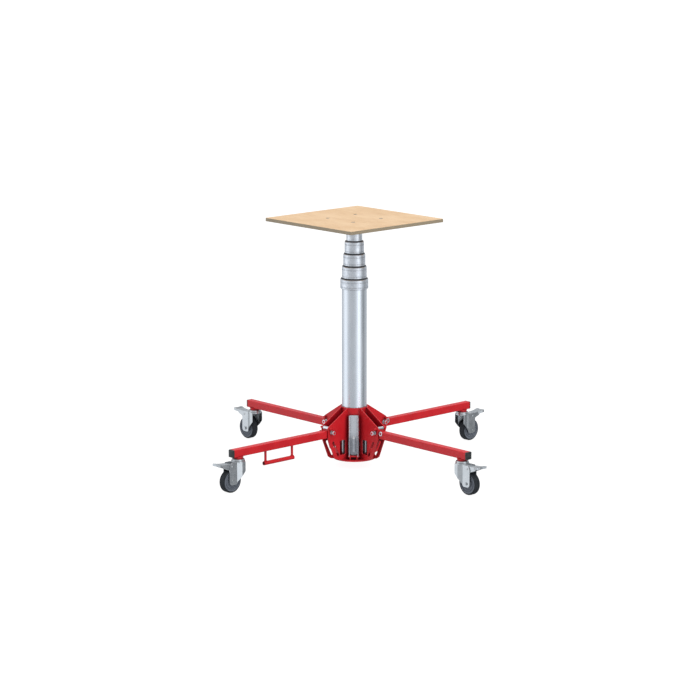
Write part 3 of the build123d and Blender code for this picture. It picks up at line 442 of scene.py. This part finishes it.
def lathe(mesh, base, axis, profile, sides=32, turn=0.0, hollow=False):
    """Turns a profile of (radius, height) points, in millimetres, round an axis.

    Few sides give a prism. A hollow profile is a closed outline that makes a ring; others get flat ends.
    """
    u, v = square_to(axis)
    turns = [2 * math.pi * k / sides + turn for k in range(sides)]
    spokes = [u * math.cos(t) + v * math.sin(t) for t in turns]
    rings = []
    for radius, height in profile:
        centre = base + axis * height * MM
        if radius <= 0:
            rings.append([mesh.verts.new(centre)])
        else:
            rings.append([mesh.verts.new(centre + spoke * radius * MM) for spoke in spokes])
    following = rings[1:] + rings[:1] if hollow else rings[1:]
    for a, b in zip(rings, following):
        for k in range(sides):
            n = (k + 1) % sides
            if len(a) == 1:
                mesh.faces.new((a[0], b[n], b[k]))
            elif len(b) == 1:
                mesh.faces.new((a[k], a[n], b[0]))
            else:
                mesh.faces.new((a[k], a[n], b[n], b[k]))
    for ring in (rings[0], rings[-1]):
        if len(ring) > 1 and not hollow:
            mesh.faces.new(ring)


# ---------------------------------------------------------------- welds of the hub
def hub_welds():
    """Beads up both faces of each plate, along its foot, and round the sleeve's foot between the legs."""
    outside = math.sqrt(SLEEVE_RADIUS ** 2 - PLATE_FACE ** 2)       # where a plate's faces meet the sleeve
    inside = math.sqrt(SLEEVE_RADIUS ** 2 - PLATE_INSIDE ** 2)
    step = 1.4 * MM
    beads = [       # start, end, across, radius
        ((outside + 0.6, 134), (outside + 0.6, 267), PLATE_FACE + 0.4, 2.3),
        ((inside + 0.8, 134), (inside + 0.8, 258), PLATE_INSIDE - 0.4, 2.0),
        ((outside + 3, BASE_TOP), (91, BASE_TOP), PLATE_FACE + 0.5, 2.3),
        ((outside + 0.6, 44), (outside + 0.6, 59), PLATE_FACE + 0.4, 2.1)]
    mesh = bmesh.new()
    for angle in LEGS.values():
        for side in (-1, 1):
            for start, end, across, radius in beads:
                ends = [point(angle, *place, side * across) for place in (start, end)]
                weld(mesh, divided(*ends, step), radius)
        arc_start, arc_step, arc_points = angle + 25, 1.3, 31
        arc = [point(arc_start + i * arc_step, SLEEVE_RADIUS + 0.7, BASE_TOP) for i in range(arc_points)]
        weld(mesh, arc, 2.2)
    piece("hub_welds", mesh, "base", "red_paint", 60)


# ---------------------------------------------------------------- legs
def leg_details(leg, angle):
    """Weld beads, the plated sleeve round the hinge bush, the ring beside the hub, and the end cap's face."""
    body = f"leg_{leg}_body"
    side_axis = direction(angle, True)
    saddle_ends, saddle_half = (155.6, 176.4), 15.5
    handle_rods, handle_bar_top = (369.0, 521.0), 103.8
    boss_radius, rod_radius = 21.3, 5.9
    mesh = bmesh.new()
    for along in saddle_ends:
        ends = [point(angle, along, LEG_TOP, across) for across in (-saddle_half, saddle_half)]
        weld(mesh, divided(*ends, 1.3 * MM), 1.9)
    weld(mesh, ring_path(point(angle, SWIVEL_ALONG, LEG_UNDERSIDE), boss_radius, UP, 84), 2.1, True)
    if leg == "front_left":
        for along in handle_rods:
            weld(mesh, ring_path(point(angle, along, LEG_UNDERSIDE), rod_radius, UP, 26), 1.7, True)
            weld(mesh, ring_path(point(angle, along, handle_bar_top), rod_radius, UP, 26), 1.6, True)
    piece(f"leg_welds_{leg}", mesh, body, "red_paint", 60)

    sleeve = [(7.2, -15.2), (7.9, -15.2), (7.9, 15.2), (7.2, 15.2)]
    ring = [(5.6, 0), (5.6, 3.0), (6.3, 3.7), (9.3, 3.7), (10.0, 3.0), (10.0, 0)]
    mesh = bmesh.new()
    lathe(mesh, point(angle, *HINGE), side_axis, sleeve, 40, hollow=True)
    lathe(mesh, point(angle, *RING, -15.4), -side_axis, ring, 40, hollow=True)
    piece(f"leg_rings_{leg}", mesh, body, "zinc_steel")

    low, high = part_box(f"leg_cap_{leg}")
    face = max(abs(low.x), abs(high.x), abs(low.y), abs(high.y)) / MM
    inset = [(15.0, 0), (15.0, 0.5), (13.9, 1.1), (0, 1.1)]
    mesh = bmesh.new()
    lathe(mesh, point(angle, face - 0.3, LEG_MIDDLE), direction(angle), inset, 4, math.pi / 4)
    piece(f"cap_face_{leg}", mesh, body, "black_plastic")


# ---------------------------------------------------------------- fasteners
def hub_fasteners():
    """Washers under the painted hinge bolts, and their domed ends."""
    washer = [(8.6, 0), (8.6, 0.9), (8.2, 1.2), (5.0, 1.2)]
    dome = [(5.9, 0), (5.6, 1.2), (4.6, 1.9), (0, 1.9)]
    mesh = bmesh.new()
    for angle in LEGS.values():
        for side in (-1, 1):
            axis = direction(angle, True) * side
            lathe(mesh, point(angle, *HINGE, side * (PLATE_FACE - 0.1)), axis, washer, 36)
            lathe(mesh, point(angle, *HINGE, side * (PLATE_FACE + BOLT_HEAD - 0.1)), axis, dome, 28)
    piece("hinge_washers", mesh, "base", "red_paint")


def plunger_details(leg, angle):
    """Grip ridges round the pull knob, and the red cap in its end."""
    ridges, ridge_circle, ridge_length, ridge_radius = 20, 8.8, 3.8, 0.62
    depth = 5.3             # from the knob's face to the ridges' inner ends
    cap = [(5.4, 0), (5.4, 0.7), (4.8, 1.1), (0, 1.1)]
    axis = direction(angle, True) * LOCK_SIDES[leg]
    low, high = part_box(f"lock_plunger_{leg}")
    centre = (low + high) / 2
    reach = max(abs(low.dot(axis)), abs(high.dot(axis)))
    base = centre - axis * centre.dot(axis) + axis * (reach - depth * MM)
    mesh = bmesh.new()
    for i in range(ridges):
        t = 2 * math.pi * i / ridges
        radial = direction(angle) * math.cos(t) + UP * math.sin(t)
        start = base + radial * ridge_circle * MM
        run = divided(start, start + axis * ridge_length * MM, 1.2 * MM)
        sweep(mesh, run, lambda k: ridge_radius * MM, 6)
    piece(f"knob_grip_{leg}", mesh, f"plunger_{leg}", "zinc_steel")

    mesh = bmesh.new()
    lathe(mesh, base + axis * (depth - 0.1) * MM, axis, cap, 32)
    piece(f"knob_cap_{leg}", mesh, f"plunger_{leg}", "red_paint")


# ---------------------------------------------------------------- castors
def castor_details(leg, angle):
    """Rivets of the brake, spacers on the axle, the seal of the swivel race, and ribs on the brake pedal."""
    body = f"castor_{leg}"
    side_axis = direction(angle, True)
    cheek_face, wheel_face = 21.4, 16.0
    race_height, race_radius = 134.3, 28.6
    rivet = [(4.6, 0), (4.6, 0.8), (3.6, 1.6), (0, 1.8)]
    spacer = [(7.5, 0), (7.5, 2.3), (6.8, 2.7), (4.4, 2.7)]

    mesh = bmesh.new()
    for side in (-1, 1):
        lathe(mesh, point(angle, *BRAKE_PIVOT, side * cheek_face), side_axis * side, rivet, 24)
    piece(f"brake_rivets_{leg}", mesh, body, "zinc_steel")

    mesh = bmesh.new()
    for side in (-1, 1):
        lathe(mesh, point(angle, *AXLE, side * wheel_face), side_axis * side, spacer, 28)
    piece(f"axle_spacers_{leg}", mesh, body, "black_plastic")

    mesh = bmesh.new()
    race = ring_path(point(angle, SWIVEL_ALONG, race_height), race_radius, UP, 72)
    sweep(mesh, race, lambda k: 0.9 * MM, 8, True)
    piece(f"race_seal_{leg}", mesh, body, "seal_rubber")

    pad_start, pad_length, pad_foot, pad_rise, half_width = 773, 27, 130, 5, 17
    mesh = bmesh.new()
    for along in (780.0, 786.0, 792.0):
        height = pad_foot + (along - pad_start) / pad_length * pad_rise + 0.1
        ends = [point(angle, along, height, across) for across in (-half_width, half_width)]
        sweep(mesh, divided(*ends, 2 * MM), lambda k: 0.9 * MM, 8)
    piece(f"brake_ribs_{leg}", mesh, f"brake_{leg}", "zinc_steel")


# ---------------------------------------------------------------- column
def collar_screws():
    """Four grub screws with an open socket in each collar, a quarter turn apart."""
    screw = [(2.8, 0), (2.8, 2.3), (2.5, 2.55), (1.4, 2.55), (1.4, 1.2), (0, 1.2)]
    collars = {"base": "outer_collar", "stage_1": "stage_1_collar", "stage_2": "stage_2_collar",
               "stage_3": "stage_3_collar"}
    above_middle, sunk = 4, 2.5
    for body, collar in collars.items():
        low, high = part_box(collar)
        radius = high.x / MM
        height = (low.z + high.z) / 2 / MM + above_middle
        mesh = bmesh.new()
        for angle in (-75, 15, 105, 195):
            lathe(mesh, point(angle, radius - sunk, height), direction(angle), screw, 24)
        piece(f"{collar}_screws", mesh, body, "zinc_steel")


def inlet_details():
    """Hexagon and hose barbs of the air inlet."""
    height = 54
    hexagon = [(9.5, 0), (11.2, 0.9), (11.2, 7.1), (9.5, 8.0)]
    barb = [(4.8, 0), (5.6, 0.4), (4.9, 2.6)]
    axis = direction(INLET_ANGLE)
    mesh = bmesh.new()
    lathe(mesh, point(INLET_ANGLE, 67.0, height), axis, hexagon, 6)
    for along in (89.5, 93.0, 96.5):
        lathe(mesh, point(INLET_ANGLE, along, height), axis, barb, 28)
    piece("inlet_hexagon", mesh, "base", "valve_brass")


def pedal_edges():
    """Rolled edges along the two flanges of the foot pedal, standing folded up."""
    along, across, foot, edge_radius = 79.3, 19.1, 57, 2.2
    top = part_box("foot_pedal")[1].z / MM - 6
    mesh = bmesh.new()
    for side in (-1, 1):
        ends = [point(PEDAL_ANGLE, along, height, side * across) for height in (foot, top)]
        sweep(mesh, divided(*ends, 3 * MM), lambda k: edge_radius * MM, 12)
    piece("pedal_edges", mesh, "pedal", "zinc_steel")


hub_welds()
pedal_edges()
hub_fasteners()
collar_screws()
inlet_details()
for leg, angle in LEGS.items():
    leg_details(leg, angle)
    plunger_details(leg, angle)
    castor_details(leg, angle)


# ---------------------------------------------------------------- studio
def studio_world():
    """Soft boxes and darker gaps round the object, as bands of brightness by compass direction."""
    world = bpy.data.worlds.new("studio")
    world.use_nodes = True
    bpy.context.scene.world = world
    tree = world.node_tree
    tree.nodes.clear()

    def node(kind, values=None, **settings):
        return add_node(tree, kind, values, **settings)

    def spread(value, low, high):
        """0 to 1 as the value goes from low to high."""
        values = {"Value": value, "From Min": low, "From Max": high}
        return node("ShaderNodeMapRange", values).outputs["Result"]

    def blended(share_of_b, a, b):
        return node("ShaderNodeMix", {0: share_of_b, 6: a, 7: b}, data_type="RGBA").outputs[2]

    split = node("ShaderNodeSeparateXYZ", {0: node("ShaderNodeTexCoord").outputs["Generated"]})
    heading = {0: split.outputs["Y"], 1: split.outputs["X"]}
    compass = node("ShaderNodeMath", heading, operation="ARCTAN2").outputs[0]
    bands = [       # compass degrees, brightness
        (-180, 0.58), (-160, 0.64), (-145, 1.04), (-118, 1.06), (-101, 0.62), (-78, 0.52), (-52, 0.50),
        (-34, 0.56), (-16, 0.82), (-8, 1.28), (9, 1.28), (19, 0.80), (29, 0.50), (37, 0.32), (47, 0.24),
        (56, 0.32), (68, 0.46), (100, 0.56), (180, 0.58)]
    ramp = node("ShaderNodeValToRGB", {"Fac": spread(compass, -math.pi, math.pi)})
    while len(ramp.color_ramp.elements) < len(bands):
        ramp.color_ramp.elements.new(0.5)
    for element, (degrees, light) in zip(ramp.color_ramp.elements, bands):
        element.position = (degrees + 180) / 360
        element.color = (light * 0.955, light, light * 1.06, 1)

    climb = split.outputs["Z"]
    roof = blended(spread(climb, 0.45, 0.85), ramp.outputs["Color"], (0.95, 0.96, 0.98, 1))
    room = blended(spread(climb, -0.45, -0.9), roof, (0.30, 0.31, 0.32, 1))
    lit = node("ShaderNodeBackground", {"Color": room, "Strength": 1.0})
    plain = node("ShaderNodeBackground", {"Color": (1, 1, 1, 1), "Strength": 1.05})
    seen = node("ShaderNodeLightPath").outputs["Is Camera Ray"]
    both = node("ShaderNodeMixShader", {0: seen, 1: lit.outputs[0], 2: plain.outputs[0]})
    node("ShaderNodeOutputWorld", {"Surface": both.outputs[0]})


def soft_sun(name, azimuth, elevation, strength, spread):
    """A broad sun that lights the object but isn't seen in its reflections."""
    data = bpy.data.lights.new(name, "SUN")
    data.energy = strength
    data.angle = math.radians(spread)
    made = bpy.data.objects.new(name, data)
    bpy.context.scene.collection.objects.link(made)
    a, e = math.radians(azimuth), math.radians(elevation)
    toward = Vector((math.cos(a) * math.cos(e), math.sin(a) * math.cos(e), math.sin(e)))
    made.rotation_euler = toward.to_track_quat("Z", "Y").to_euler()
    made.visible_glossy = False


def floor():
    """White glowing floor that takes only a faint shadow, and isn't seen in reflections or bounced light."""
    mesh = bmesh.new()
    bmesh.ops.create_grid(mesh, x_segments=8, y_segments=8, size=30)
    data = bpy.data.meshes.new("floor")
    mesh.to_mesh(data)
    mesh.free()
    made = bpy.data.objects.new("floor", data)
    bpy.context.scene.collection.objects.link(made)
    made.location.z = -0.0006
    f = Finish("floor_white", (0.16, 0.16, 0.16), 0.9, 0.0, Specular_IOR_Level=0.0, Emission_Strength=0.93)
    f.set(f.surface, {"Emission Color": (1, 1, 1, 1)})
    f.paint(f.mix(f.noise(3.0, detail=2.0), (0.15, 0.15, 0.15), (0.17, 0.17, 0.17)))
    data.materials.append(f.material)
    made.visible_glossy = False
    made.visible_diffuse = False
    made.visible_shadow = False
    made.visible_transmission = False


def camera():
    azimuth, elevation = math.radians(47.2), math.radians(11.4)
    distance, target = 11.69, Vector((0, 0, 0.5))
    data = bpy.data.cameras.new("camera")
    data.sensor_width = 36
    data.lens = 136.5
    data.shift_x = -0.00614286
    data.shift_y = 0.00642857
    back = Vector((math.sin(azimuth) * math.cos(elevation), -math.cos(azimuth) * math.cos(elevation),
                   math.sin(elevation)))
    made = bpy.data.objects.new("camera", data)
    bpy.context.scene.collection.objects.link(made)
    made.location = target + back * distance
    made.rotation_euler = back.to_track_quat("Z", "Y").to_euler()
    bpy.context.scene.camera = made


studio_world()
floor()
soft_sun("key", 8, 38, 0.84, 50)
soft_sun("top", -60, 78, 0.9, 70)
camera()
bpy.context.scene.view_settings.view_transform = "Standard"
